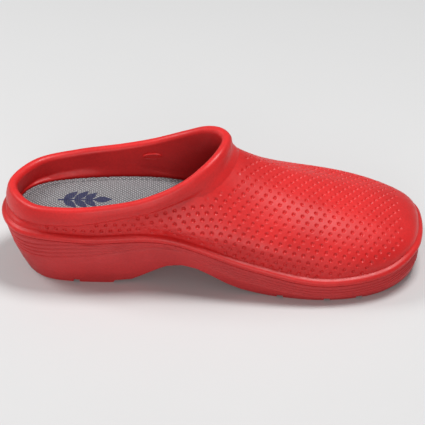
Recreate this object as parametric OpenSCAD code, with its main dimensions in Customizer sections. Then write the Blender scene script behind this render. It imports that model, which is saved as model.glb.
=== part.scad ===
// Garden clog, right foot: moulded upper, wedge sole and a loose two-layer insole. All sizes in mm.
// x runs from heel to toe, y from the outer side (minus) to the arch side (plus), z up from the ground.

/* [Overall] */
// Length of the clog over the bead from heel to toe
shoe_length = 276; // [230:1:335]
// Width of the clog over the bead at the ball of the foot
shoe_width = 102; // [84:1:124]

/* [Sole] */
// Height of the bead above the ground at the heel
heel_height = 42; // [32:0.2:51]
// Height of the bead above the ground at the ball of the foot
ball_height = 17; // [14:0.5:26]
// Height of the bead above the ground at the toe
toe_height = 26; // [22:0.5:34]
// Depth of the step behind the arch where the heel pad ends
heel_breast = 2.2; // [1:0.1:4]
// Height of the arch above the ground at its highest
arch_height = 18.5; // [8:0.5:22]
// Width of a tread groove
tread_width = 4; // [2.5:0.5:7]
// Depth of a tread groove
tread_depth = 2.2; // [1:0.1:3.5]

/* [Upper] */
// Height of the rim above the bead at the back of the heel
heel_rim_rise = 19; // [15:0.5:30]
// Height of the top of the throat above the rim at the heel
throat_rise = 31; // [22:0.5:40]
// Thickness of the moulded wall
wall = 5; // [4:0.5:6.5]
// How far the bead stands out beyond its own centre line
bead_out = 1.5; // [0.8:0.1:2.5]
// Height of the collar band under the rim
band_height = 12; // [9:0.5:16]
// How far the collar band stands proud of the upper
band_proud = 2.4; // [1:0.1:3.5]
// Radius of the rounded rim
rim_radius = 3.2; // [2:0.1:4]

/* [Insole] */
// Thickness of the foam layer
foam_thickness = 3.2; // [2:0.04:5]
// Thickness of the woven cover
cover_thickness = 0.8; // [0.5:0.1:1.5]
// Gap between the edge of the insole and the wall
insole_gap = 1.4; // [1:0.1:3]
// Distance of the fold from the middle of the clog, where the heel of the insole starts to lift
fold_x = -24; // [-34:1:-14]
// Gap between the two halves of the insole at the fold
fold_gap = 0.3; // [0.2:0.1:0.6]
// Distance of the row of stitches from the edge of the insole
stitch_inset = 3.2; // [2.5:0.1:5]
// Width of the stitching thread
thread_width = 0.8; // [0.5:0.1:1.2]
// Height of the stitching thread above the cover
thread_height = 0.4; // [0.3:0.1:0.6]
// Thickness of the printed leaf mark
print_thickness = 0.25; // [0.2:0.05:0.4]
// Size of the printed leaf mark compared with its drawn size
print_scale = 1; // [0.7:0.05:1.2]

/* [Hidden] */
n_around = 80;
n_half = n_around / 2;
sx = shoe_length / 276;
sy = shoe_width / 102;

// Stations run toe, outer side, heel; the arch side uses the same stations coming back.
function there_and_back(a) = concat(a, [for (i = [7:-1:1]) a[i]]);
heel_part = there_and_back([0, 0, 0, 0, 0.37, 0.95, 1, 1, 1]);
toe_part = there_and_back([1, 0.8, 0.2, 0, 0, 0, 0, 0, 0]);
bead_z = [for (i = [0:15]) ball_height + heel_part[i] * (heel_height - ball_height)
    + toe_part[i] * (toe_height - ball_height)];
throat_part = there_and_back([1, 0.985, 0.83, 0.58, 0.34, 0.19, 0.075, 0.015, 0]);
rim_z = [for (i = [0:15]) heel_height + heel_rim_rise + throat_part[i] * throat_rise];
band_part = there_and_back([0.75, 0.93, 1, 0.96, 0.92, 0.9, 1.02, 1.1, 1.17]);
footbed_drop = there_and_back([6, 5, 3.8, 2.5, 0.2, 1.3, 1.5, 1.5, 1.5]);

bead_xy = [[135, 7], [129, -25], [106, -46], [66, -53], [20, -48], [-32, -39], [-83, -40], [-125, -29],
    [-138, 0], [-125, 28], [-83, 38], [-32, 38.5], [20, 41], [66, 46], [106, 43], [129, 31]];
band_xy = [[10.5, 4], [6.3, -13], [-2.8, -25], [-19, -33], [-41, -37.7], [-63, -38.9], [-92, -38.2], [-122, -27.5],
    [-134.5, 0], [-122, 27.5], [-92, 37.3], [-63, 37.7], [-41, 36.8], [-19, 34], [-2.8, 27.5], [6.3, 17]];
rim_xy = [[6.6, 4], [2.6, -11], [-7.3, -22.8], [-21.5, -31], [-41, -35.2], [-62, -37], [-91, -35.8], [-117.2, -27],
    [-131.8, 0], [-117.2, 26.2], [-91, 35], [-62, 36.3], [-41, 35.2], [-21.5, 31.8], [-7.3, 24.8], [2.6, 14.5]];
floor_xy = [[127.5, 7], [122, -19], [101, -39], [63, -46], [19, -41], [-31, -32.5], [-81, -32], [-118, -22.5],
    [-129.5, 0], [-118, 22.5], [-81, 31.5], [-31, 32], [19, 35], [63, 40], [101, 37], [122, 26]];
ground_xy = [[131, 7], [125, -22], [102, -41], [65, -47], [18, -38], [-26, -24], [-72, -27], [-110, -21.5],
    [-125, 0], [-110, 20.5], [-72, 26], [-30, 25], [18, 34], [63, 41], [101, 38], [123, 26]];
// Height and reach of the upper's curve at the bead and at the band, and the slope under the band
rise = [16, 17, 18, 19.5, 15, 6, 3, 1.6, 1.2, 1.6, 3, 6, 20, 33, 31, 17];
reach = [53, 49, 43, 33, 18, 6, 2.5, 1.6, 1.2, 1.6, 2.5, 6, 20, 36, 45, 51];
slope = [36, 34, 36, 39, 49, 62, 70, 74, 76, 74, 70, 62, 50, 43, 39, 38];

function spline(a, b, c, d, t) =
    0.5 * (2 * b + (c - a) * t + (2 * a - 5 * b + 4 * c - d) * t * t + (3 * b - a - 3 * c + d) * t * t * t);
function loop(p) = [for (i = [0:n_around - 1]) let (s = i * 16 / n_around, j = floor(s))
    spline(p[(j + 15) % 16], p[j], p[(j + 1) % 16], p[(j + 2) % 16], s - j)];
function scaled(xy, z) = [for (i = [0:15]) [xy[i][0] * sx, xy[i][1] * sy, z[i]]];
function unit(v) = v / norm(v);
function flat(v) = [v[0], v[1], 0];

bead = loop(scaled(bead_xy, bead_z));
band = loop(scaled(band_xy, [for (i = [0:15]) rim_z[i] - band_part[i] * band_height]));
rim = loop(scaled(rim_xy, rim_z));
ground = loop(scaled(ground_xy, [for (i = [0:15]) -1]));
rises = loop(rise);
reaches = loop(reach);
slopes = loop(slope);
out = [for (i = [0:n_around - 1])
    let (t = bead[(i + n_around - 1) % n_around] - bead[(i + 1) % n_around]) unit([t[1], -t[0], 0])];
// Edge of the footbed, drawn for a wall of 5 and moved in or out evenly on both sides for another
bed_at_5 = loop(scaled(floor_xy, [for (i = [0:15]) bead_z[i] - footbed_drop[i]]));
bed = [for (i = [0:n_around - 1]) let (o = out[i], q = out[(n_around - i) % n_around])
    bed_at_5[i] - (wall - 5) * [o[0] + q[0], o[1] - q[1], 0] / 2];
mid = [(max([for (p = bead) p[0]]) + min([for (p = bead) p[0]])) / 2,
    (max([for (p = bead) p[1]]) + min([for (p = bead) p[1]])) / 2, 0];

// Outer skin between bead and band, n_skin + 1 points up each column
n_skin = 10;
function bezier(a, b, c, d, t) =
    pow(1 - t, 3) * a + 3 * pow(1 - t, 2) * t * b + 3 * (1 - t) * t * t * c + pow(t, 3) * d;
skin = [for (i = [0:n_around - 1])
    let (foot = bead[i] - 1.5 * out[i] + [0, 0, 2.6], away = unit(flat(bead[i] - band[i])),
        p1 = foot + rises[i] * unit([0, 0, 1] + 0.06 * out[i]),
        p2 = band[i] + reaches[i] * (cos(slopes[i]) * away - [0, 0, sin(slopes[i])]))
    [for (k = [0:n_skin]) bezier(foot, p1, p2, band[i], k / n_skin)]];
function skin_out(i, k) =
    let (du = skin[(i + 1) % n_around][k] - skin[(i + n_around - 1) % n_around][k],
        dv = skin[i][min(k + 1, n_skin)] - skin[i][max(k - 1, 0)])
    unit(cross(dv, du));

// Closed cross-section of the upper at one column, from the groove up the outside and down the inside,
// where the wall stands upright beside the insole
insole_top = foam_thickness + cover_thickness;
function section(i) =
    let (o = out[i], b = bead[i], up = rim[i] - band[i], long = norm(up), d = up / long,
        t = band[(i + 1) % n_around] - band[(i + n_around - 1) % n_around], n = unit(cross(d, t)),
        top = long - rim_radius, c = rim_radius - band_proud,
        inside = band[i] - wall * unit(skin_out(i, n_skin) + n),
        away = unit(flat(bead[i] - band[i])),
        shelf = bed[i] + [0, 0, min(insole_top, 0.6 * (inside[2] - bed[i][2]))],
        p1 = shelf + [0, 0, max(min(3, 0.4 * (inside[2] - shelf[2])), rises[i] + skin[i][0][2] - shelf[2] - wall)],
        p2 = inside + reaches[i] * (cos(slopes[i]) * away - [0, 0, sin(slopes[i])]))
    concat(
        [for (p = [[-2, -2.8], [0.1, -2.4], [bead_out - 0.2, -1.4], [bead_out, -0.1], [0.8, 1.3], [-0.6, 2.1]])
            b + p[0] * o + [0, 0, p[1]]],
        [for (k = [0:n_skin]) skin[i][k]],
        [for (p = [[1.2, 0.62], [3, 0.92], [0.5 * top + 1, 1.08]])
            band[i] + p[0] * d + p[1] * band_proud * n],
        [for (a = [90:-36:-90]) band[i] + (top + rim_radius * cos(a)) * d + (rim_radius * sin(a) - c) * n],
        [for (t = [1, 0.86, 0.72, 0.58, 0.44, 0.3, 0.15, 0]) bezier(shelf, p1, p2, inside, t)],
        [bed[i]]);

columns = [for (i = [0:n_around - 1]) section(i)];
n_section = len(columns[0]);

module upper() {
    color([0.80, 0.17, 0.16])
        translate(-mid)
            polyhedron(
                points = [for (c = columns) each c],
                faces = [for (i = [0:n_around - 1], k = [0:n_section - 1])
                    let (i1 = (i + 1) % n_around, k1 = (k + 1) % n_section)
                    each [[i * n_section + k, i1 * n_section + k, i1 * n_section + k1],
                        [i * n_section + k, i1 * n_section + k1, i * n_section + k1]]],
                convexity = 8);
}

// Rings of the sole from the ground edge up to the edge of the footbed
sole_rings = [
    ground,
    [for (i = [0:n_around - 1]) 0.72 * ground[i] + 0.28 * (bead[i] - [0, 0, 6]) + 0.9 * out[i]],
    [for (i = [0:n_around - 1]) 0.4 * ground[i] + 0.6 * (bead[i] - [0, 0, 6]) + 1.1 * out[i]],
    [for (i = [0:n_around - 1]) bead[i] - 0.2 * out[i] - [0, 0, 5]],
    [for (i = [0:n_around - 1]) bead[i] - 0.6 * out[i] - [0, 0, 3.6]],
    [for (i = [0:n_around - 1]) columns[i][0]],
    bed];

// Side view of everything under the sole: ground, arch and toe spring
under = [[-160, -5], [-160, 7], [-144, 5.5], [-132, 2.6], [-122, 0.8], [-113, 0], [-67, 0], [-66, heel_breast],
    [-55, heel_breast + 0.3], [-48, 0.33 * arch_height], [-40, 0.6 * arch_height], [-32, 0.86 * arch_height],
    [-22, arch_height], [-13, 0.93 * arch_height], [-4, 0.7 * arch_height], [6, 0.4 * arch_height],
    [16, 0.19 * arch_height], [26, 0.06 * arch_height], [36, 0], [98, 0], [108, 0.7], [118, 2.4],
    [126, 4.6], [133, 7.2], [140, 10.5], [160, 21], [160, -5]];

module sole() {
    color([0.73, 0.25, 0.26])
        translate(-mid)
            difference() {
                polyhedron(
                    points = [for (r = sole_rings) each r],
                    faces = concat(
                        [[for (i = [0:n_around - 1]) n_around - 1 - i]],
                        [for (k = [0:len(sole_rings) - 2], i = [0:n_around - 1])
                            let (i1 = (i + 1) % n_around, a = k * n_around, b = a + n_around)
                            each k == len(sole_rings) - 2
                                ? [[a + i, a + i1, b + i], [a + i1, b + i1, b + i]]
                                : [[a + i, a + i1, b + i1], [a + i, b + i1, b + i]]],
                        [for (j = [0:n_half - 1])
                            let (a = (len(sole_rings) - 1) * n_around, q = (n_around - j) % n_around)
                            j == 0 ? [a, a + 1, a + n_around - 1]
                            : j == n_half - 1 ? [a + j, a + n_half, a + q]
                            : [a + j, a + j + 1, a + q - 1, a + q]]),
                    convexity = 8);
                rotate([90, 0, 0])
                    linear_extrude(height = 160, center = true)
                        polygon([for (p = under) [p[0] * sx, p[1]]]);
                for (x = [-91, 41, 71, 92])
                    translate([x * sx, 0, 0])
                        cube([tread_width, 160, 2 * tread_depth], center = true);
            }
}

// Side view of the footbed, heel first, and the plan of the insole
bed_line = [for (j = [n_half:-1:0]) [bed[j][0], bed[j][2]]];
edge = [for (i = [0:n_around - 1])
    let (t = bed[(i + n_around - 1) % n_around] - bed[(i + 1) % n_around], o = unit([t[1], -t[0]]))
    [bed[i][0], bed[i][1]] - insole_gap * o];
fold = fold_x + mid[0];
fold_z = lookup(fold, bed_line);

// Part of the space over the footbed, from height low to height high, behind or ahead of the fold
module layer(low, high, ahead) {
    end = ahead ? fold + fold_gap / 2 : fold - fold_gap / 2;
    line = ahead ? concat([[end, lookup(end, bed_line)]], [for (p = bed_line) if (p[0] > end + 0.2) p])
        : concat([for (p = bed_line) if (p[0] < end - 0.2) p], [[end, lookup(end, bed_line)]]);
    rotate([90, 0, 0])
        linear_extrude(height = 140, center = true)
            polygon(concat([for (p = line) p + [0, low]],
                [for (k = [len(line) - 1:-1:0]) line[k] + [0, high]]));
}

module insole_plan(inset) {
    polygon([for (i = [0:n_around - 1])
        let (t = edge[(i + n_around - 1) % n_around] - edge[(i + 1) % n_around])
        edge[i] - inset * unit([t[1], -t[0]])]);
}

module insole_piece(low, high, ahead) {
    translate(-mid)
        intersection() {
            layer(low, high, ahead);
            linear_extrude(height = 120)
                insole_plan(0);
        }
}

module stitch_row(ahead) {
    translate(-mid)
        intersection() {
            layer(insole_top, insole_top + thread_height, ahead);
            linear_extrude(height = 120)
                difference() {
                    insole_plan(stitch_inset);
                    insole_plan(stitch_inset + thread_width);
                }
        }
}

module insole_foam_front() {
    color([0.20, 0.20, 0.21]) insole_piece(0, foam_thickness, true);
}

module insole_foam_heel() {
    color([0.20, 0.20, 0.21]) insole_piece(0, foam_thickness, false);
}

module insole_cover_front() {
    color([0.58, 0.58, 0.60]) insole_piece(foam_thickness, insole_top, true);
}

module insole_cover_heel() {
    color([0.58, 0.58, 0.60]) insole_piece(foam_thickness, insole_top, false);
}

module insole_stitching_front() {
    color([0.42, 0.42, 0.45]) stitch_row(true);
}

module insole_stitching_heel() {
    color([0.42, 0.42, 0.45]) stitch_row(false);
}

// Leaf drawn with its stalk along x
module leaf(long, wide) {
    polygon([for (t = [0:0.125:1]) [long * t, wide / 2 * sin(180 * pow(t, 0.8))],
        for (t = [0.875:-0.125:0.125]) [long * t, -wide / 2 * sin(180 * pow(t, 0.8))]]);
}

module insole_print() {
    color([0.13, 0.17, 0.32])
        translate(-mid)
            intersection() {
                layer(insole_top, insole_top + print_thickness, false);
                translate([-86 * sx, 3 * sy, 0])
                    linear_extrude(height = 120)
                        scale(print_scale) {
                            translate([-17, -0.9]) square([25, 1.8]);
                            translate([6.5, 0]) leaf(12, 7);
                            for (s = [-1, 1], p = [[-13, 13], [-6, 13.5], [1, 11]])
                                translate([p[0], 0]) rotate(s * 50) leaf(p[1], 5.6);
                        }
            }
}

upper();
sole();
insole_foam_front();
insole_foam_heel();
insole_cover_front();
insole_cover_heel();
insole_stitching_front();
insole_stitching_heel();
insole_print();
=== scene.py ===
import math
import bpy
import numpy as np
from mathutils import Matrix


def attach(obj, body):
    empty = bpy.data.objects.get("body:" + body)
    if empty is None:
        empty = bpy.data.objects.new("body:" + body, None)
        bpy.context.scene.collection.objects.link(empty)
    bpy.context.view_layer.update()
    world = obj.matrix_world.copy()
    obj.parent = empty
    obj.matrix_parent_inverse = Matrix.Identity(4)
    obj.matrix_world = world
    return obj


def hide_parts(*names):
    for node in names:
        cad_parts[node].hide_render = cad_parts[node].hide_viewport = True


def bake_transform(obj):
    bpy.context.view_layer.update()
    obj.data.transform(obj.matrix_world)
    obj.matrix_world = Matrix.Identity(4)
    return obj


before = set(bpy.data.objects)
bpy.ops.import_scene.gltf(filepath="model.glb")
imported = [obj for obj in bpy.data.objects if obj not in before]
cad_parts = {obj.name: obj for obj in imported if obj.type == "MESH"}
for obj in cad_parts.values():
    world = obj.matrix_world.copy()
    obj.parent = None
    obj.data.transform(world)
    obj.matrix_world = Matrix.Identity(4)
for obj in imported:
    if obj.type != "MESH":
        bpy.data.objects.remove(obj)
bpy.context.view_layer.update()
scene = bpy.context.scene

# ---------------------------------------------------------------------------------------------
# Upper
# One shell of soft red rubber, moulded in one shot and bonded to the sole in the groove under its
# bead. It has a thick wall, a smooth rolled band round the opening and staggered round dents.
# ---------------------------------------------------------------------------------------------
# Closed lines round the clog pass sixteen stations: the toe (0), the outer side, the heel (8) and back
# along the arch side. Sizes are in mm, with x towards the toe and z up from the ground.
BEAD_AT_HEEL, BEAD_AT_BALL, BEAD_AT_TOE = 42, 17, 26
RIM_AT_HEEL, RIM_AT_THROAT, BAND_HEIGHT = 61, 92, 12
BEAD_OUT, BAND_PROUD, RIM_RADIUS = 1.5, 2.4, 3.2
WALL, FOAM, COVER = 5.0, 3.2, 0.8


def there_and_back(a):
    """Values at the sixteen stations from those at the first nine, for what is the same on both sides."""
    return np.array(a + a[7:0:-1], float)


heel_part = there_and_back([0, 0, 0, 0, 0.37, 0.95, 1, 1, 1])
toe_part = there_and_back([1, 0.8, 0.2, 0, 0, 0, 0, 0, 0])
throat_part = there_and_back([1, 0.985, 0.83, 0.58, 0.34, 0.19, 0.075, 0.015, 0])
band_part = there_and_back([0.75, 0.93, 1, 0.96, 0.92, 0.9, 1.02, 1.1, 1.17])
bead_z = (BEAD_AT_BALL + heel_part * (BEAD_AT_HEEL - BEAD_AT_BALL)
          + toe_part * (BEAD_AT_TOE - BEAD_AT_BALL))
rim_z = RIM_AT_HEEL + throat_part * (RIM_AT_THROAT - RIM_AT_HEEL)
band_z = rim_z - BAND_HEIGHT * band_part
bed_z = bead_z - there_and_back([6, 5, 3.8, 2.5, 0.2, 1.3, 1.5, 1.5, 1.5])
bead_xy = [(135, 7), (129, -25), (106, -46), (66, -53), (20, -48), (-32, -39), (-83, -40), (-125, -29),
           (-138, 0), (-125, 28), (-83, 38), (-32, 38.5), (20, 41), (66, 46), (106, 43), (129, 31)]
band_xy = [(10.5, 4), (6.3, -13), (-2.8, -25), (-19, -33), (-41, -37.7), (-63, -38.9), (-92, -38.2),
           (-122, -27.5), (-134.5, 0), (-122, 27.5), (-92, 37.3), (-63, 37.7), (-41, 36.8), (-19, 34),
           (-2.8, 27.5), (6.3, 17)]
rim_xy = [(6.6, 4), (2.6, -11), (-7.3, -22.8), (-21.5, -31), (-41, -35.2), (-62, -37), (-91, -35.8),
          (-117.2, -27), (-131.8, 0), (-117.2, 26.2), (-91, 35), (-62, 36.3), (-41, 35.2), (-21.5, 31.8),
          (-7.3, 24.8), (2.6, 14.5)]
floor_xy = [(127.5, 7), (122, -19), (101, -39), (63, -46), (19, -41), (-31, -32.5), (-81, -32), (-118, -22.5),
            (-129.5, 0), (-118, 22.5), (-81, 31.5), (-31, 32), (19, 35), (63, 40), (101, 37), (122, 26)]
ground_xy = [(131, 7), (125, -22), (102, -41), (65, -47), (18, -38), (-26, -24), (-72, -27), (-110, -21.5),
             (-125, 0), (-110, 20.5), (-72, 26), (-30, 25), (18, 34), (63, 41), (101, 38), (123, 26)]
# How far the outer skin's curve pulls at the bead and at the band, and its slope in degrees under the band
RISE = np.array([16, 17, 18, 19.5, 15, 6, 3, 1.6, 1.2, 1.6, 3, 6, 20, 33, 31, 17])
REACH = np.array([53, 49, 43, 33, 18, 6, 2.5, 1.6, 1.2, 1.6, 2.5, 6, 20, 36, 45, 51])
SLOPE = np.array([36, 34, 36, 39, 49, 62, 70, 74, 76, 74, 70, 62, 50, 43, 39, 38.0])
BEAD, BAND, RIM, BED, GROUND = [np.column_stack([np.array(xy, float), z]) for xy, z in
                                ((bead_xy, bead_z), (band_xy, band_z), (rim_xy, rim_z), (floor_xy, bed_z),
                                 (ground_xy, -np.ones(16)))]


def around(table, s):
    """Catmull-Rom through the sixteen stations, at the places s (0 to 16) along the line."""
    s = np.asarray(s, float) % 16
    j = np.floor(s).astype(int) % 16
    t = s - np.floor(s)
    if table.ndim > 1:
        t = t[..., None]
    a, b, c, d = [table[(j + k) % 16] for k in (-1, 0, 1, 2)]
    return 0.5 * (2 * b + (c - a) * t + (2 * a - 5 * b + 4 * c - d) * t * t
                  + (3 * b - a - 3 * c + d) * t ** 3)


def unit(v):
    return v / np.maximum(np.linalg.norm(v, axis=-1, keepdims=True), 1e-12)


def outward(s, table=BEAD):
    """Level direction straight out from one of the lines round the clog."""
    t = around(table, s - 0.2) - around(table, s + 0.2)
    return unit(np.stack([t[..., 1], -t[..., 0], 0 * t[..., 0]], -1))


def bezier(a, b, c, d, t):
    t = t[..., None]
    return (1 - t) ** 3 * a + 3 * (1 - t) ** 2 * t * b + 3 * (1 - t) * t * t * c + t ** 3 * d


def skin(s, v):
    """Outer face of the upper: v runs from the bead (0) to the foot of the collar band (1)."""
    s, v = np.broadcast_arrays(np.asarray(s, float), np.asarray(v, float))
    o, b, c, up = outward(s), around(BEAD, s), around(BAND, s), np.array([0, 0, 1.0])
    foot = b - 1.5 * o + 2.6 * up
    away = unit((b - c) * [1, 1, 0])
    k = np.radians(around(SLOPE, s))[..., None]
    p1 = foot + around(RISE, s)[..., None] * unit(up + 0.06 * o)
    p2 = c + around(REACH, s)[..., None] * (np.cos(k) * away - np.sin(k) * up)
    return bezier(foot, p1, p2, c, v)


def skin_normal(s, v, e=0.01):
    """Outward normal of the outer face, from points a short step e on each side."""
    v = np.clip(v, e, 1 - e)
    return unit(np.cross(skin(s, v + e) - skin(s, v - e), skin(s + e, v) - skin(s - e, v)))


# Middle of the bead line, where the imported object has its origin
dense = around(BEAD, np.arange(80) / 5)
MID = np.array([(dense[:, 0].max() + dense[:, 0].min()) / 2, (dense[:, 1].max() + dense[:, 1].min()) / 2, 0])


def to_row(points_mm):
    """Points in mm on the clog as metres from its middle."""
    return (np.asarray(points_mm, float) - MID) / 1000


def ease(t):
    """A smooth step from 0 to 1 as t goes from 0 to 1."""
    t = np.clip(t, 0, 1)
    return t * t * (3 - 2 * t)


def mesh_piece(name, points, faces, smooth=True):
    """A new object from points in metres and faces."""
    me = bpy.data.meshes.new(name)
    me.from_pydata([tuple(p) for p in points], [], [tuple(int(i) for i in f) for f in faces])
    me.validate()
    me.update()
    me.polygons.foreach_set("use_smooth", [smooth] * len(me.polygons))
    ob = bpy.data.objects.new(name, me)
    scene.collection.objects.link(ob)
    return ob


SKIN_ROWS, INNER_ROWS = 34, 20
FILLET_BELOW, FILLET_ABOVE = 8.0, 5.5


def ring_faces(n, m, inwards=False):
    """Quads of a tube of n closed rings of m points, which joins up with itself."""
    a = np.arange(n * m).reshape(n, m)
    b = np.roll(a, -1, 0)
    c, d = np.roll(b, -1, 1), np.roll(a, -1, 1)
    return np.stack([a, d, c, b] if inwards else [a, b, c, d], -1).reshape(-1, 4)


def upper_section(s):
    """Closed section at each place s, from the groove up the outside and down the inside: (n, m, 3)."""
    b, o, c, r, bed = around(BEAD, s), outward(s), around(BAND, s), around(RIM, s), around(BED, s)
    up = np.array([0, 0, 1.0])
    long = np.linalg.norm(r - c, axis=-1, keepdims=True)
    d = (r - c) / long
    t = around(BAND, s + 0.2) - around(BAND, s - 0.2)
    n = unit(np.cross(d, t))
    top, inner = long - RIM_RADIUS, RIM_RADIUS - BAND_PROUD
    bead_profile = [(-2, -2.8), (-0.9, -2.75), (0.1, -2.4), (0.85, -2.0), (BEAD_OUT - 0.2, -1.4),
                    (BEAD_OUT, -0.7), (BEAD_OUT, -0.1), (1.25, 0.7), (0.8, 1.3), (0.15, 1.8), (-0.6, 2.1)]
    rows = [b + x * o + z * up for x, z in bead_profile]
    rows += [skin(s, v) for v in np.linspace(0, 1, SKIN_ROWS)]
    skin_rows = range(len(bead_profile), len(bead_profile) + SKIN_ROWS)
    for x, h in ((0.5, 0.25), (1.2, 0.62), (2.0, 0.83), (3.0, 0.95)):
        rows.append(c + x * d + h * BAND_PROUD * n)
    for f in (0.35, 0.6, 0.85):
        rows.append(c + (3 + f * (top - 3)) * d + (0.97 + 0.14 * math.sin(math.pi * f)) * BAND_PROUD * n)
    for a in np.radians(np.arange(90, -91, -15)):
        rows.append(c + (top + RIM_RADIUS * np.cos(a)) * d + (RIM_RADIUS * np.sin(a) - inner) * n)
    inside = c - WALL * unit(skin_normal(s, np.ones_like(s)) + n)
    away = unit((b - c) * [1, 1, 0])
    k = np.radians(around(SLOPE, s))[:, None]
    foot = skin(s, np.zeros_like(s))
    # Down the inside the wall leans with the skin, then stands upright beside the insole
    shelf = bed + up * np.minimum(FOAM + COVER, 0.6 * (inside - bed)[:, 2:])
    p1 = shelf + up * np.maximum(np.minimum(3, 0.4 * (inside - shelf)[:, 2:]),
                                 around(RISE, s)[:, None] + foot[:, 2:] - shelf[:, 2:] - WALL)
    p2 = inside + around(REACH, s)[:, None] * (np.cos(k) * away - np.sin(k) * up)
    rows += [bezier(shelf, p1, p2, inside, np.full(len(s), v)) for v in np.linspace(1, 0, INNER_ROWS - 1)]
    rows.append(bed)
    rows = np.stack(rows, 1)
    # A wide fillet between the vamp and the band at the throat, fading out along the sides
    w = ease((c[:, 0] + 26) / 26)
    far = np.linalg.norm(rows[:, skin_rows] - c[:, None], axis=-1)
    for i in np.nonzero(w > 0)[0]:
        old = rows[i].copy()
        start = np.array([np.interp(-FILLET_BELOW, -far[i], old[skin_rows, k]) for k in range(3)])
        end = c[i] + FILLET_ABOVE * d[i] + 0.97 * BAND_PROUD * n[i]
        for k in range(skin_rows[0], skin_rows[-1] + 8):
            on_band = k > skin_rows[-1]
            if on_band:
                x = (old[k] - c[i]) @ d[i] / FILLET_ABOVE
            else:
                x = far[i, k - skin_rows[0]] / FILLET_BELOW
            if x < 1:
                t = 0.5 + 0.5 * x if on_band else 0.5 - 0.5 * x
                curve = (1 - t) ** 2 * start + 2 * t * (1 - t) * c[i] + t * t * end
                rows[i, k] = old[k] + w[i] * (curve - old[k])
    return rows, skin_rows


def dent_rows():
    """The outer skin as a sheet over (x, g): x is a plane across the clog and g the distance round it
    from the ridge, so that rows of dents run lengthwise. Returns the sheet and its limits on each side.
    It has a spare strip past the bead and past the band, and behind the waist its girth stays the same."""
    past_bead, past_band = 8, 7
    waist, waist_girth = -57, 57
    cols, rows = np.linspace(0, 8, 801), np.linspace(0, 1, 81)
    xs, gs = np.arange(-120.0, 130.5), np.arange(-112.0, 112.5)
    tip = BAND[0, 0]
    sheet = np.zeros((len(xs), len(gs), 3))
    reach = {}
    for side in (-1, 1):
        at = cols if side < 0 else 16 - cols
        P = skin(at[:, None], rows[None, :])
        lines = []
        for x in xs:
            if x < tip:
                q = np.array([np.interp(x, P[::-1, k, 0], cols[::-1]) for k in range(len(rows))])
                line = skin(q if side < 0 else 16 - q, rows)
            else:
                crosses = (P[:, :-1, 0] >= x) & (P[:, 1:, 0] < x) & (P[:, :1, 0] >= x)
                j = np.nonzero(crosses.any(1))[0]
                k = crosses[j].argmax(1)
                t = (P[j, k, 0] - x) / (P[j, k, 0] - P[j, k + 1, 0])
                line = skin(at[j], (k + t) / (len(rows) - 1))
                q = np.interp(x, P[::-1, 0, 0], cols[::-1])
                line = np.concatenate([line, [skin(q if side < 0 else 16 - q, 0.0)]])[::-1]
            lines.append(line)
        arcs = [np.concatenate([[0], np.cumsum(np.linalg.norm(np.diff(l, axis=0), axis=1))]) for l in lines]
        long = np.array([r[-1] for r in arcs])
        first = long[np.searchsorted(xs, tip)]
        spread = ease((xs - waist) / (tip - waist))
        girth = np.where(xs < tip, waist_girth + (first - waist_girth) * spread, long)
        reach[side] = (girth, np.where(xs < tip, long, 1e3))
        for i, (line, arc) in enumerate(zip(lines, arcs)):
            beyond = line[-1] + past_band * unit(line[-1] - line[-3])
            line = np.vstack([line[0] - [0, 0, past_bead], line])
            arc = np.append(-past_bead, arc)
            if xs[i] < tip:
                line, arc = np.vstack([line, beyond]), np.append(arc, arc[-1] + past_band)
            mine = gs < 0 if side < 0 else gs >= 0
            up = girth[i] - np.abs(gs[mine])
            sheet[i, mine] = np.stack([np.interp(up, arc, line[:, c]) for c in range(3)], -1)
    return xs, gs, sheet, reach


# Dents: how far apart they are along and across the rows, how wide and deep, and where they start and end
PITCH, ROW_GAP, DENT_RADIUS, DENT_DEPTH = 5.8, 4.3, 1.45, 1.0
DENTS_FROM, DENTS_TO = -115.5, 125
xs, gs, sheet, reach = dent_rows()


def on_sheet(x, g):
    """A point of the outer skin between the sheet's own points, on a smooth curve both ways."""
    fx, fg = np.asarray(x) - xs[0], np.asarray(g) - gs[0]
    i = np.clip(np.floor(fx).astype(int), 1, len(xs) - 3)
    j = np.clip(np.floor(fg).astype(int), 1, len(gs) - 3)

    def weights(t):
        return [(-t + 2 * t * t - t ** 3) / 2, (2 - 5 * t * t + 3 * t ** 3) / 2,
                (t + 4 * t * t - 3 * t ** 3) / 2, (t ** 3 - t * t) / 2]
    wx, wg = weights(fx - i), weights(fg - j)
    return sum((wx[a] * wg[b])[..., None] * sheet[i - 1 + a, j - 1 + b] for a in range(4) for b in range(4))


def smooth_margin(x):
    """Width of the plain strip under the band, which widens towards the throat."""
    return 0.9 + 9.1 * ease((x + 35) / 50)


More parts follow.
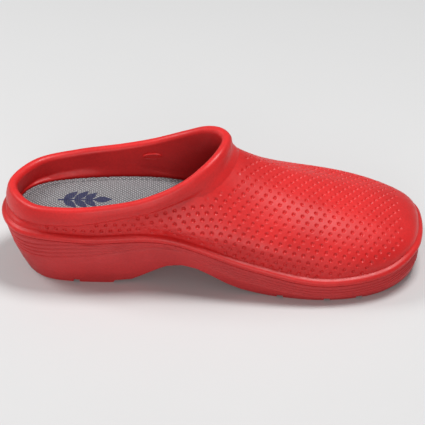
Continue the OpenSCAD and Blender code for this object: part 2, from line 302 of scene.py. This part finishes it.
def dented_sheet():
    """The outer skin cut into staggered cells with rings of points round each dent, ready to be pressed.
    Returns points (mm), faces, and for each point its dent's depth and whether it is a dent's centre."""
    where, faces, points, deep, centre = {}, [], [], [], []

    def corner(kx, kg):
        if (kx, kg) not in where:
            where[kx, kg] = len(points)
            points.append((kx * PITCH / 4, kg * ROW_GAP / 2))
            deep.append(0.0)
            centre.append(0.0)
        return where[kx, kg]

    band_line = around(BAND, np.arange(640) / 40)
    border = [(2, 0), (2, 1), (1, 1), (0, 1), (-1, 1), (-2, 1),
              (-2, 0), (-2, -1), (-1, -1), (0, -1), (1, -1), (2, -1)]
    turn = np.radians(np.arange(0, 360, 30))
    for r in range(-22, 22):
        g = (r + 0.5) * ROW_GAP
        girth, long = reach[-1 if g < 0 else 1]
        for i in range(-20, 22):
            x = i * PITCH + (r % 2) * PITCH / 2
            if not DENTS_FROM < x < DENTS_TO:
                continue
            up, top = np.interp(x, xs, girth) - abs(g), np.interp(x, xs, long)
            if up < -4 or up > top + 4:
                continue
            # No dent close to the bead, a wider plain strip round the toe, and deeper dents at the heel
            to_band = np.min(np.linalg.norm(band_line - on_sheet(x, g), axis=1))
            margin = 0.8 + 13 * ease((x - 90) / 40)
            ends = ease((x - DENTS_FROM - 1) / 3) * ease((DENTS_TO - 2 - x) / 6)
            edges = ease((up - margin) / 0.8 + 0.3) * ease((to_band - smooth_margin(x)) / 1.2 + 0.5)
            depth = ends * edges * (up < top - 0.8) * (1 + 0.35 * ease((-35 - x) / 25))
            # The dent stays round where the sheet's own grid is stretched
            e = 0.4
            jx = (on_sheet(x + e, g) - on_sheet(x - e, g)) / (2 * e)
            jg = (on_sheet(x, g + e) - on_sheet(x, g - e)) / (2 * e)
            metric = np.array([[jx @ jx, jx @ jg], [jx @ jg, jg @ jg]])
            val, vec = np.linalg.eigh(metric)
            back = vec @ np.diag(1 / np.sqrt(val)) @ vec.T
            ring = [corner(4 * i + 2 * (r % 2) + a, 2 * r + 1 + b) for a, b in border]
            for size in (1.2, 1.0, 0.75, 0.4):
                new = []
                for a in turn:
                    p = back @ (size * DENT_RADIUS * np.array([np.cos(a), np.sin(a)]))
                    new.append(len(points))
                    points.append((x + p[0], g + p[1]))
                    deep.append(depth)
                    centre.append(0.0)
                faces += [(ring[k], ring[(k + 1) % 12], new[(k + 1) % 12], new[k]) for k in range(12)]
                ring = new
            points.append((x, g))
            deep.append(depth)
            centre.append(1.0)
            faces += [(ring[k], ring[(k + 1) % 12], len(points) - 1) for k in range(12)]
    p = np.array(points)
    return on_sheet(p[:, 0], p[:, 1]), faces, np.array(deep), np.array(centre)


def new_tree(name, **inputs):
    """A Geometry Nodes tree with the named inputs, its input node and its output node."""
    tree = bpy.data.node_groups.new(name, "GeometryNodeTree")
    for label, kind in inputs.items():
        tree.interface.new_socket(label.replace("_", " "), in_out="INPUT", socket_type="NodeSocket" + kind)
    tree.interface.new_socket("Geometry", in_out="OUTPUT", socket_type="NodeSocketGeometry")
    return tree, tree.nodes.new("NodeGroupInput"), tree.nodes.new("NodeGroupOutput")


def press_dents():
    """Geometry Nodes that press a round dent of the given depth and radius at each centre point."""
    tree, into, out_of = new_tree("press dents", Geometry="Geometry", Dent_Depth="Float", Dent_Radius="Float",
                                  Rubber="Material")
    centre = add(tree, "GeometryNodeInputNamedAttribute", {"Name": "centre"}, data_type="FLOAT")
    is_centre = add(tree, "FunctionNodeCompare", {0: centre.outputs[0], 1: 0.5}, operation="GREATER_THAN")
    centres = add(tree, "GeometryNodeSeparateGeometry",
                  {0: into.outputs["Geometry"], 1: is_centre.outputs[0]}, domain="POINT")
    near = add(tree, "GeometryNodeProximity", {0: centres.outputs[0]}, target_element="POINTS")
    ratio = sums(tree, "DIVIDE", near.outputs["Distance"], into.outputs["Dent Radius"])
    cap = sums(tree, "SUBTRACT", 1.0, sums(tree, "MULTIPLY", ratio, ratio))
    deep = add(tree, "GeometryNodeInputNamedAttribute", {"Name": "deep"}, data_type="FLOAT")
    amount = sums(tree, "MULTIPLY", sums(tree, "MAXIMUM", cap, 0.0),
                  sums(tree, "MULTIPLY", deep.outputs[0], into.outputs["Dent Depth"]))
    normal = tree.nodes.new("GeometryNodeInputNormal")
    inward = add(tree, "ShaderNodeVectorMath",
                 {0: normal.outputs[0], 3: sums(tree, "MULTIPLY", amount, -1.0)}, operation="SCALE")
    moved = add(tree, "GeometryNodeSetPosition", {0: into.outputs["Geometry"], 3: inward.outputs[0]})
    real = add(tree, "GeometryNodeRealizeInstances", {0: moved.outputs[0]})
    done = add(tree, "GeometryNodeSetMaterial", {0: real.outputs[0], 2: into.outputs["Rubber"]})
    tree.links.new(done.outputs[0], out_of.inputs[0])
    return tree


def add(tree, kind, inputs={}, **settings):
    """A node with its settings; each input is a value or a socket to link from."""
    n = tree.nodes.new(kind)
    for key, value in settings.items():
        setattr(n, key, value)
    for key, value in inputs.items():
        if isinstance(value, bpy.types.NodeSocket):
            tree.links.new(value, n.inputs[key])
        else:
            n.inputs[key].default_value = value
    return n


def sums(tree, operation, a, b=0.0):
    """One sum of two values or sockets."""
    return add(tree, "ShaderNodeMath", {0: a, 1: b}, operation=operation).outputs[0]


def apply_nodes(ob, tree, values):
    """Runs a Geometry Nodes tree on ob with the named values and keeps the result as its plain mesh."""
    mod = ob.modifiers.new(tree.name, "NODES")
    mod.node_group = tree
    for item in tree.interface.items_tree:
        if item.item_type == "SOCKET" and item.in_out == "INPUT" and item.name in values:
            mod[item.identifier] = values[item.name]
    made = bpy.data.meshes.new_from_object(ob.evaluated_get(bpy.context.evaluated_depsgraph_get()))
    ob.modifiers.remove(mod)
    made.name = ob.name
    ob.data = made
    return ob


def new_material(name):
    """A material and its tree, its shader and the piece's own coordinates."""
    m = bpy.data.materials.new(name)
    m.use_nodes = True
    t = m.node_tree
    return m, t, t.nodes["Principled BSDF"], add(t, "ShaderNodeTexCoord").outputs["Object"]


def blend_colours(tree, factor, a, b, how="MIX"):
    """Colour a turned into colour b by the factor."""
    return add(tree, "ShaderNodeMix", {0: factor, 6: a, 7: b}, data_type="RGBA", blend_type=how).outputs[2]


def noise(tree, where, scale, detail):
    """Soft random values between 0 and 1, most of them near the middle."""
    return add(tree, "ShaderNodeTexNoise", {"Vector": where, "Scale": scale, "Detail": detail}).outputs[0]


def span(tree, value, a, b, c, d):
    """The value moved from the range a to b into the range c to d."""
    return add(tree, "ShaderNodeMapRange", {0: value, 1: a, 2: b, 3: c, 4: d}).outputs[0]


def raise_surface(tree, shader, strength, depth, height):
    """Gives the shader a relief of the given strength and depth in metres."""
    relief = add(tree, "ShaderNodeBump", {"Strength": strength, "Distance": depth, "Height": height})
    tree.links.new(relief.outputs[0], shader.inputs["Normal"])


def moulded_rubber(name, colour, deep_colour, shine, grain):
    """Moulded rubber: a slow drift between two reds, fine mottling, and the grain that the mould leaves."""
    m, t, shader, where = new_material(name)
    drift = span(t, noise(t, where, 28, 4), 0.35, 0.65, 0, 1)
    fine = span(t, noise(t, where, 700, 2), 0.3, 0.7, 0.93, 1.05)
    tone = blend_colours(t, drift, colour, deep_colour)
    speck = add(t, "ShaderNodeCombineColor", {0: fine, 1: fine, 2: fine}).outputs[0]
    t.links.new(blend_colours(t, 1.0, tone, speck, "MULTIPLY"), shader.inputs["Base Color"])
    t.links.new(span(t, noise(t, where, 180, 3), 0.3, 0.7, shine[0], shine[1]), shader.inputs["Roughness"])
    shader.inputs["Specular IOR Level"].default_value = 0.38
    skin_grain = add(t, "ShaderNodeBump",
                     {"Strength": 0.35, "Distance": grain, "Height": noise(t, where, 1500, 2)})
    flow = add(t, "ShaderNodeBump", {"Strength": 0.25, "Distance": 0.0004, "Height": noise(t, where, 90, 1),
                                     "Normal": skin_grain.outputs[0]})
    t.links.new(flow.outputs[0], shader.inputs["Normal"])
    return m


red_rubber = moulded_rubber("red rubber", (0.65, 0.017, 0.017, 1), (0.55, 0.012, 0.012, 1), (0.36, 0.48),
                            0.00006)

# The shell and the dented sheet over it are one mesh. Under the sheet the shell's own skin is sunk.
SUNK = 2.2
s = np.arange(320) / 20
rows, skin_rows = upper_section(s)
x_at = rows[:, skin_rows, 0]
hidden = ease((x_at - DENTS_FROM - 2) / 3) * ease((DENTS_TO - 2.5 - x_at) / 3)
normals = np.stack([skin_normal(s, np.full(len(s), v)) for v in np.linspace(0, 1, SKIN_ROWS)], 1)
hidden[:, 0] = hidden[:, -1] = 0
band_line = around(BAND, np.arange(640) / 40)
to_band = np.array([np.linalg.norm(band_line[:, None] - row[skin_rows], axis=-1).min(0) for row in rows])
hidden *= ease(to_band - smooth_margin(x_at) + 2.6)
rows[:, skin_rows] -= SUNK * hidden[..., None] * normals
n, m = rows.shape[:2]
shell_faces = ring_faces(n, m, inwards=True).tolist()
points, cells, deep, centre = dented_sheet()

# Oval rim of an ejector mark on the inner wall of the arch side: its half length, half width and thickness
OVAL_LONG, OVAL_HIGH, OVAL_RIM = 5.3, 3.1, 0.75
OVAL_PLACE = (-42, 31, 61)
inner = upper_section(np.linspace(10, 12, 81))[0][:, -INNER_ROWS:]
i, j = np.unravel_index(np.argmin(np.linalg.norm(inner - OVAL_PLACE, axis=-1)), inner.shape[:2])
along = unit(inner[i + 1, j] - inner[i - 1, j])
upward = unit(inner[i, j - 1] - inner[i, j + 1])
off = unit(np.cross(along, upward))
if off[1] > 0:
    upward, off = -upward, -off
turn, tube = np.radians(np.arange(0, 360, 7.5)), np.radians(np.arange(0, 360, 36))
oval = []
for p in turn:
    middle = inner[i, j] + OVAL_LONG * math.cos(p) * along + OVAL_HIGH * math.sin(p) * upward
    away = unit(math.cos(p) * along / OVAL_LONG + math.sin(p) * upward / OVAL_HIGH)
    oval += [middle + OVAL_RIM * (math.cos(q) * away + math.sin(q) * off) for q in tube]
oval_faces = ring_faces(len(turn), len(tube)) + n * m + len(points)

all_points = np.concatenate([rows.reshape(-1, 3), points, np.array(oval)])
faces = shell_faces + [tuple(n * m + k for k in f) for f in cells] + oval_faces.tolist()
upper = mesh_piece("clog_upper", to_row(all_points), faces)
for name, values in (("deep", deep), ("centre", centre)):
    layer = upper.data.attributes.new(name, "FLOAT", "POINT")
    layer.data.foreach_set("value", np.concatenate([np.zeros(n * m), values, np.zeros(len(oval))]))
apply_nodes(upper, press_dents(),
            {"Dent Depth": DENT_DEPTH / 1000, "Dent Radius": DENT_RADIUS / 1000, "Rubber": red_rubber})
for name in ("deep", "centre"):
    upper.data.attributes.remove(upper.data.attributes[name])
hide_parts("upper")
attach(upper, "clog_shell")


# ---------------------------------------------------------------------------------------------
# Sole
# A wedge of harder red rubber under the upper, with a heel pad, an arch, toe spring and grooves across
# its tread. Fine lines are moulded in its side, wavy round the heel and level round the ball and toe.
# ---------------------------------------------------------------------------------------------
def sole_side(s, t):
    """Side of the sole at the places s, from the ground line (t = 0) up to the groove (t = 1)."""
    b, o, g, up = around(BEAD, s), outward(s), around(GROUND, s), np.array([0, 0, 1.0])
    low = b - 6 * up
    rings = np.stack([g, 0.72 * g + 0.28 * low + 0.9 * o, 0.4 * g + 0.6 * low + 1.1 * o, b - 0.2 * o - 5 * up,
                      b - 0.6 * o - 3.6 * up, b - 2 * o - 2.8 * up], 1)
    knots = np.array([0, 0.28, 0.6, 0.93, 0.97, 1.0])
    t = np.asarray(t)
    j = np.clip(np.searchsorted(knots, t, side="right") - 1, 0, 4)
    f = ((t - knots[j]) / (knots[j + 1] - knots[j]))[None, :, None]
    return rings[:, j] * (1 - f) + rings[:, j + 1] * f


def line_depth(p, s):
    """How far the surface dips in the fine lines at points p of the sole's side."""
    under_bead = around(BEAD, s)[:, None, 2] - p[..., 2]
    x = p[..., 0]
    heel, front = 1 - ease((x + 32) / 18), ease((x + 20) / 22)
    spread = 1 - ease((x + 88) / 62)
    depth = np.zeros(x.shape)
    for k in range(4):
        line = 5.4 + 0.5 * k + spread * (1.2 + 2.7 * k - 2.2 * np.sin((x + 104 - 3 * k) / 15))
        depth += 0.85 * heel * np.exp(-((under_bead - line) / 0.6) ** 2)
        depth += 0.8 * front * np.exp(-((under_bead - 5.8 - 2.3 * k) / 0.5) ** 2)
    return depth


s = np.arange(400) / 25
levels = np.concatenate([np.linspace(0, 0.93, 128), [0.945, 0.97, 1.0]])
side = sole_side(s, levels)
side -= line_depth(side, s)[..., None] * outward(s)[:, None]
bed = around(BED, s)[:, None]
rings = np.concatenate([side, 0.5 * side[:, -1:] + 0.5 * bed, bed], 1)
n, m = rings.shape[:2]
ring = np.arange(n * m).reshape(n, m)
a, b, c, d = ring[:, :-1], np.roll(ring, -1, 0)[:, :-1], np.roll(ring, -1, 0)[:, 1:], ring[:, 1:]
faces = np.stack([a, d, c, b], -1).reshape(-1, 4).tolist()
faces.append(ring[:, 0].tolist())
top = ring[:, -1]
for j in range(n // 2):
    across = [top[j], top[-j], top[-j - 1], top[j + 1]]
    faces.append([int(k) for k in dict.fromkeys(across)])
sole = mesh_piece("clog_sole", to_row(rings.reshape(-1, 3)), faces)

# Side view of the ground, heel breast, arch and toe spring, with the tread grooves
TREAD_WIDTH, TREAD_DEPTH, HEEL_BREAST = 4, 2.2, 2.2


def groove(x):
    left, right = x - TREAD_WIDTH / 2, x + TREAD_WIDTH / 2
    return [(left, 0), (left, TREAD_DEPTH), (right, TREAD_DEPTH), (right, 0)]


underside = [(-160, -5), (-160, 7), (-144, 5.5), (-132, 2.6), (-122, 0.8), (-113, 0)] + groove(-91)
underside += [(-67, 0), (-66, HEEL_BREAST), (-55, HEEL_BREAST + 0.3), (-48, 6.1), (-40, 11.1), (-32, 15.9),
              (-22, 18.5), (-13, 17.2), (-4, 12.95), (6, 7.4), (16, 3.5), (26, 1.1), (36, 0)]
underside += groove(41) + groove(71) + groove(92)
underside += [(98, 0), (108, 0.7), (118, 2.4), (126, 4.6), (133, 7.2), (140, 10.5), (160, 21), (160, -5)]
k = len(underside)
block = mesh_piece("under_the_sole", to_row([(x, y, z) for y in (-80, 80) for x, z in underside]),
                   [list(range(k))[::-1], list(range(k, 2 * k))]
                   + [[i, (i + 1) % k, (i + 1) % k + k, i + k] for i in range(k)], smooth=False)
cut = sole.modifiers.new("cut", "BOOLEAN")
cut.operation, cut.solver, cut.object = "DIFFERENCE", "EXACT", block
made = bpy.data.meshes.new_from_object(sole.evaluated_get(bpy.context.evaluated_depsgraph_get()))
sole.modifiers.remove(cut)
sole.data = made
bpy.data.objects.remove(block)
made.polygons.foreach_set("use_smooth", [True] * len(made.polygons))
made.set_sharp_from_angle(angle=math.radians(38))
sole.data.materials.clear()
sole.data.materials.append(
    moulded_rubber("sole rubber", (0.56, 0.032, 0.034, 1), (0.50, 0.026, 0.028, 1), (0.5, 0.62), 0.0001))
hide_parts("sole")
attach(sole, "clog_shell")


# ---------------------------------------------------------------------------------------------
# Insole foam
# A sheet of dark cushioning foam cut to the footbed. It lies loose in the clog under its woven cover,
# with a small gap to the wall all round.
# ---------------------------------------------------------------------------------------------
GAP = 1.4


def insole_edge(inset):
    """The edge of the footbed moved in by the inset."""
    s = np.arange(800) / 50
    return around(BED, s) - inset * outward(s, BED)


bed_line = around(BED, np.linspace(8, 0, 401))[:, [0, 2]]


def bed_height(x):
    return np.interp(x, bed_line[:, 0], bed_line[:, 1])


def insole_grid(inset, n=220, across=56):
    """Plan of the insole: points from heel to toe and side to side, each with its distance to the edge."""
    edge = insole_edge(inset)
    tip, back = edge[:, 0].max(), edge[:, 0].min()
    x = (tip + back) / 2 - (tip - back) / 2 * np.cos(np.linspace(0.012, math.pi - 0.012, n))
    i, j = edge[:, 0].argmin(), edge[:, 0].argmax()
    ring = np.roll(edge, -j, 0)
    k = (i - j) % len(edge)
    outer, arch = ring[:k + 1][::-1], ring[k:]
    low, high = np.interp(x, outer[:, 0], outer[:, 1]), np.interp(x, arch[:, 0], arch[:, 1])
    u = np.sin(np.linspace(-1, 1, across) * math.pi / 2)
    u = 0.5 * u + 0.5 * np.linspace(-1, 1, across)
    y = (low + high)[:, None] / 2 + (high - low)[:, None] / 2 * u
    p = np.stack([np.repeat(x[:, None], across, 1), y], -1)
    flat = p.reshape(-1, 2)
    near = np.min(np.linalg.norm(flat[:, None, :] - edge[None, ::2, :2], axis=-1), 1).reshape(p.shape[:2])
    return p, near


def slab_faces(n, m, first=0):
    """Faces of a slab with n by m points on top and as many below, counted from the first."""
    t = first + np.arange(n * m).reshape(n, m)
    b = t + n * m
    loop = np.concatenate([t[0], t[1:, -1], t[-1, :-1][::-1], t[1:-1, 0][::-1]])
    return [f for quads in ([t[:-1, :-1], t[1:, :-1], t[1:, 1:], t[:-1, 1:]],
                            [b[:-1, :-1], b[:-1, 1:], b[1:, 1:], b[1:, :-1]],
                            [loop, np.roll(loop, -1), np.roll(loop, -1) + n * m, loop + n * m])
            for f in np.stack(quads, -1).reshape(-1, 4).tolist()]


def lay_plan(ob, points):
    """Gives the piece a UV map of its plan, one unit to 100 mm, which the weave follows."""
    uv = ob.data.uv_layers.new(name="plan")
    at = np.empty(len(ob.data.loops), int)
    ob.data.loops.foreach_get("vertex_index", at)
    uv.data.foreach_set("uv", (np.array(points)[at, :2] / 100 + 1.5).ravel())
    ob.data.set_sharp_from_angle(angle=math.radians(50))


def insole_slab(name, low, high, radius, rough_top):
    """A closed slab over the footbed between the heights low and high, rounded along its upper edge."""
    p, near = insole_grid(GAP)
    e = np.clip(radius - near, 0, radius)
    top = bed_height(p[..., 0]) + high - (radius - np.sqrt(radius ** 2 - e ** 2)) + rough_top(p, near)
    bottom = bed_height(p[..., 0]) + low
    pts = np.concatenate([np.dstack([p, top]).reshape(-1, 3), np.dstack([p, bottom]).reshape(-1, 3)])
    ob = mesh_piece(name, to_row(pts), slab_faces(*p.shape[:2]))
    lay_plan(ob, pts)
    return ob


foam = insole_slab("insole_foam", 0.02, FOAM, 0.3, lambda p, near: 0)
cells, t, shader, where = new_material("cushion foam")
pores = add(t, "ShaderNodeTexVoronoi", {"Vector": where, "Scale": 1400}).outputs["Distance"]
# The pits of the pores are painted darker than the cell walls round them: painted shade in the pores, over
# the foam's own near-black
t.links.new(blend_colours(t, span(t, pores, 0, 0.6, 0, 1), (0.02, 0.02, 0.022, 1), (0.055, 0.055, 0.06, 1)),
            shader.inputs["Base Color"])
shader.inputs["Roughness"].default_value = 0.85
raise_surface(t, shader, 0.6, 0.0002, pores)
foam.data.materials.append(cells)
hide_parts("insole_foam_front", "insole_foam_heel")
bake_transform(foam)


# ---------------------------------------------------------------------------------------------
# Insole cover
# A sheet of grey plain-woven canvas glued over the whole foam. The seam near its edge pulls it down a
# little, and the foot has pressed shallow hollows in it.
# ---------------------------------------------------------------------------------------------
SEAM, WEAVE_PITCH = 3.6, 1.35


def canvas_top(p, near):
    """How far the canvas stands above its drawn top, from its place and its distance to the edge."""
    seam = -0.28 * np.exp(-((near - SEAM) / 0.9) ** 2)
    worn = 0.10 * np.sin(p[..., 0] / 17 + 0.6) * np.cos(p[..., 1] / 13) * ease((near - 6) / 8)
    return seam + worn - 0.05


def weave(tree, pitch):
    """Height of a plain weave and which thread is on top, from the sheet's own plan coordinates."""
    plan = add(tree, "ShaderNodeUVMap", uv_map="plan").outputs[0]
    wander = noise(tree, plan, 40, 2)
    split = add(tree, "ShaderNodeSeparateXYZ", {0: plan})
    warp, weft = [sums(tree, "ADD", sums(tree, "MULTIPLY", split.outputs[k], 100 / pitch),
                       sums(tree, "MULTIPLY", wander, 0.8)) for k in (0, 1)]
    raised = []
    for a, b, start in ((warp, weft, 0.0), (weft, warp, 1.0)):
        across = sums(tree, "SUBTRACT", sums(tree, "FRACT", a), 0.5)
        square = sums(tree, "MULTIPLY", across, across)
        bulge = sums(tree, "SUBTRACT", 1.0, sums(tree, "MULTIPLY", square, 3.2))
        step = sums(tree, "ADD", sums(tree, "ADD", b, sums(tree, "FLOOR", a)), start - 0.5)
        over = sums(tree, "COSINE", sums(tree, "MULTIPLY", step, math.pi))
        lift = sums(tree, "ADD", 0.62, sums(tree, "MULTIPLY", over, 0.38))
        raised.append(sums(tree, "MULTIPLY", bulge, lift))
    height = sums(tree, "MAXIMUM", raised[0], raised[1])
    warp_on_top = sums(tree, "GREATER_THAN", raised[0], raised[1])
    return height, warp_on_top, plan


cover = insole_slab("insole_cover", FOAM + 0.01, FOAM + COVER, 0.55, canvas_top)
canvas, t, shader, where = new_material("grey canvas")
height, warp_on_top, plan = weave(t, WEAVE_PITCH)
yarn = blend_colours(t, warp_on_top, (0.12, 0.12, 0.13, 1), (0.33, 0.33, 0.34, 1))
drawn_out = add(t, "ShaderNodeVectorMath", {0: plan, 1: (90, 6, 1)}, operation="MULTIPLY").outputs[0]
slub = span(t, noise(t, drawn_out, 2.2, 3), 0.3, 0.7, 0.84, 1.12)
# Darker in the low places between the threads and a little lighter on their crowns: painted shade and painted
# highlight from the weave's height, times the slub, which is the yarn's own unevenness
painted_shade_and_slub = sums(t, "MULTIPLY", span(t, height, 0.2, 1.0, 0.55, 1.08), slub)
grey = add(t, "ShaderNodeCombineColor", {0: painted_shade_and_slub, 1: painted_shade_and_slub, 2: painted_shade_and_slub}).outputs[0]
dusty = blend_colours(t, span(t, noise(t, where, 30, 4), 0.4, 0.7, 0, 0.2), yarn, (0.30, 0.295, 0.29, 1))
t.links.new(blend_colours(t, 1.0, dusty, grey, "MULTIPLY"), shader.inputs["Base Color"])
shader.inputs["Roughness"].default_value = 0.9
shader.inputs["Sheen Weight"].default_value = 0.25
shader.inputs["Specular IOR Level"].default_value = 0.2
raise_surface(t, shader, 0.9, 0.00035, height)
cover.data.materials.append(canvas)

# The plan of its outline, in metres
outline = insole_edge(GAP)[:, :2]
x, y = outline[:, 0] / 1000, outline[:, 1] / 1000
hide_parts("insole_cover_front", "insole_cover_heel")
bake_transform(cover)


# ---------------------------------------------------------------------------------------------
# Insole stitching
# One row of lock stitches in dark grey thread, which holds the canvas and the foam together a few
# millimetres inside their edge. Each stitch dips into the cloth at both ends.
# ---------------------------------------------------------------------------------------------
STITCH_LENGTH, STITCH_PITCH, THREAD, THREAD_SINK = 2.9, 3.9, 0.8, 0.22


def stitch_tree():
    """Stitches set along a path: each is a rounded length of thread that dips into the cloth at both ends."""
    tree, into, out_of = new_tree("stitches", Path="Geometry", Pitch="Float", Stitch_Length="Float",
                                  Thread="Float", Yarn="Material")
    curve = add(tree, "GeometryNodeMeshToCurve", {0: into.outputs["Path"]})
    spaced = add(tree, "GeometryNodeResampleCurve",
                 {"Curve": curve.outputs[0], "Length": into.outputs["Pitch"]}, mode="LENGTH")
    ball = add(tree, "GeometryNodeMeshUVSphere", {"Segments": 10, "Rings": 7, "Radius": 0.5})
    size = add(tree, "ShaderNodeCombineXYZ", {0: into.outputs["Stitch Length"], 1: into.outputs["Thread"],
                                              2: into.outputs["Thread"]})
    tangent = tree.nodes.new("GeometryNodeInputTangent")
    turn = add(tree, "FunctionNodeAlignRotationToVector", {"Vector": tangent.outputs[0]}, axis="X")
    lay = add(tree, "FunctionNodeAlignRotationToVector", {"Rotation": turn.outputs[0], "Vector": (0, 0, 1)},
              axis="Z", pivot_axis="X")
    set_down = add(tree, "GeometryNodeInstanceOnPoints",
                   {"Points": spaced.outputs[0], "Instance": ball.outputs[0], "Rotation": lay.outputs[0],
                    "Scale": size.outputs[0]})
    real = add(tree, "GeometryNodeRealizeInstances", {0: set_down.outputs[0]})
    smooth = add(tree, "GeometryNodeSetShadeSmooth", {0: real.outputs[0]})
    done = add(tree, "GeometryNodeSetMaterial", {0: smooth.outputs[0], 2: into.outputs["Yarn"]})
    tree.links.new(done.outputs[0], out_of.inputs[0])
    return tree


path = insole_edge(GAP + SEAM)
path[:, 2] = bed_height(path[:, 0]) + FOAM + COVER - THREAD_SINK
stitches = mesh_piece("insole_stitching", [], [])
stitches.data.from_pydata([tuple(p) for p in to_row(path)],
                          [(i, (i + 1) % len(path)) for i in range(len(path))], [])
yarn_mat, t, shader, where = new_material("seam thread")
twist = add(t, "ShaderNodeTexWave", {"Vector": where, "Scale": 900, "Distortion": 1.5},
            bands_direction="DIAGONAL")
# The twist's low grooves are painted darker than its raised plies: painted shade along the twist
t.links.new(blend_colours(t, twist.outputs[1], (0.10, 0.10, 0.108, 1), (0.19, 0.19, 0.2, 1)),
            shader.inputs["Base Color"])
shader.inputs["Roughness"].default_value = 0.7
raise_surface(t, shader, 0.5, 0.0001, twist.outputs[1])
apply_nodes(stitches, stitch_tree(), {"Pitch": STITCH_PITCH / 1000, "Stitch Length": STITCH_LENGTH / 1000,
                                      "Thread": THREAD / 1000, "Yarn": yarn_mat})
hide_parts("insole_stitching_front", "insole_stitching_heel")
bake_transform(stitches)


# ---------------------------------------------------------------------------------------------
# Insole print
# A plain leaf sprig printed on the canvas at the heel in navy ink. The ink is a thin layer that the
# weave shows through.
# ---------------------------------------------------------------------------------------------
PRINT_PLACE, STALK_LONG, STALK_WIDE, LEAF_WIDE, LEAF_TURN = (-86, 3), (-17, 8), 1.8, 5.6, 50
INK_HIGH, INK_DEEP = 0.06, 0.12


def leaf(base, turn, long, wide):
    """Points of a leaf, in rows across it, that starts on the stalk at the base."""
    t = np.linspace(0, 1, 18)
    half = wide / 2 * np.sin(math.pi * t ** 0.8)
    c, s = math.cos(math.radians(turn)), math.sin(math.radians(turn))
    across = np.linspace(-1, 1, 7)
    x, y = long * t[:, None] + 0 * across, half[:, None] * across
    return np.stack([base + c * x - s * y, s * x + c * y], -1)


stalk = np.meshgrid(np.linspace(*STALK_LONG, 30), STALK_WIDE * np.linspace(-0.5, 0.5, 5), indexing="ij")
strips = [np.stack(stalk, -1), leaf(6.5, 0, 12, 7)]
for side in (-1, 1):
    for at, long in ((-13, 13), (-6, 13.5), (1, 11)):
        strips.append(leaf(at, side * LEAF_TURN, long, LEAF_WIDE))
points, faces = [], []
for strip in strips:
    faces += slab_faces(*strip.shape[:2], first=len(points))
    x, y = PRINT_PLACE[0] + strip[..., 0], PRINT_PLACE[1] + strip[..., 1]
    for lift in (INK_HIGH, -INK_DEEP):
        points += np.stack([x, y, bed_height(x) + FOAM + COVER + lift], -1).reshape(-1, 3).tolist()
mark = mesh_piece("insole_print", to_row(points), faces)
lay_plan(mark, points)
ink, t, shader, where = new_material("navy ink")
height, warp_on_top, plan = weave(t, WEAVE_PITCH)
blotchy = sums(t, "ADD", height, sums(t, "MULTIPLY", noise(t, where, 500, 3), 0.7))
cover_of_ink = span(t, blotchy, 0.55, 0.85, 0, 1)
t.links.new(blend_colours(t, cover_of_ink, (0.10, 0.105, 0.13, 1), (0.012, 0.018, 0.065, 1)),
            shader.inputs["Base Color"])
shader.inputs["Roughness"].default_value = 0.65
raise_surface(t, shader, 0.7, 0.00025, height)
mark.data.materials.append(ink)
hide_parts("insole_print")
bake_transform(mark)


# ---------------------------------------------------------------------------------------------
# Studio
# A pale seamless floor, a soft key light above, weaker ones on the heel side and in front, and the
# camera, which looks down on the outer side of the clog.
# ---------------------------------------------------------------------------------------------
floor = mesh_piece("floor", [(-6, -4, 0), (6, -4, 0), (6, 8, 0), (-6, 8, 0)], [(0, 1, 2, 3)], smooth=False)
paper, t, shader, where = new_material("floor paper")
t.links.new(blend_colours(t, noise(t, where, 6, 3), (0.58, 0.58, 0.58, 1), (0.60, 0.60, 0.60, 1)),
            shader.inputs["Base Color"])
shader.inputs["Roughness"].default_value = 0.9
floor.data.materials.append(paper)


def aim(ob, place, target):
    """Puts a light or the camera at a place in metres, turned towards the target."""
    back = np.array(place, float) - np.array(target, float)
    back /= np.linalg.norm(back)
    right = np.cross((0, 0, 1), back)
    right /= np.linalg.norm(right)
    up = np.cross(back, right)
    for i in range(3):
        for j, v in enumerate((right, up, back, place)):
            ob.matrix_world[i][j] = v[i]


for name, place, size, power in (("key", (0.3, 0.05, 1.25), 0.45, 12.5),
                                 ("heel side", (-0.9, 0.2, 0.9), 0.5, 7),
                                 ("fill", (-0.1, -1.5, 0.6), 0.9, 7.5)):
    lamp = bpy.data.lights.new(name, "AREA")
    lamp.shape, lamp.size, lamp.energy = "DISK", size, power
    ob = bpy.data.objects.new(name, lamp)
    scene.collection.objects.link(ob)
    aim(ob, place, (0, 0, 0.03))
scene.world = bpy.data.worlds.new("studio")
scene.world.use_nodes = True
scene.world.node_tree.nodes["Background"].inputs["Color"].default_value = (1, 1, 1, 1)
scene.world.node_tree.nodes["Background"].inputs["Strength"].default_value = 0.27

camera = bpy.data.cameras.new("camera")
camera.lens, camera.sensor_width = 141.9, 36
camera.shift_x, camera.shift_y = -0.0077, -0.0269
camera.dof.use_dof = False
camera.clip_end = 50
ob = bpy.data.objects.new("camera", camera)
scene.collection.objects.link(ob)
aim(ob, (-0.0044, -0.9100, 0.6443), (0.0015, 0.00347, 0.045))
scene.camera = ob
scene.view_settings.view_transform = "Standard"
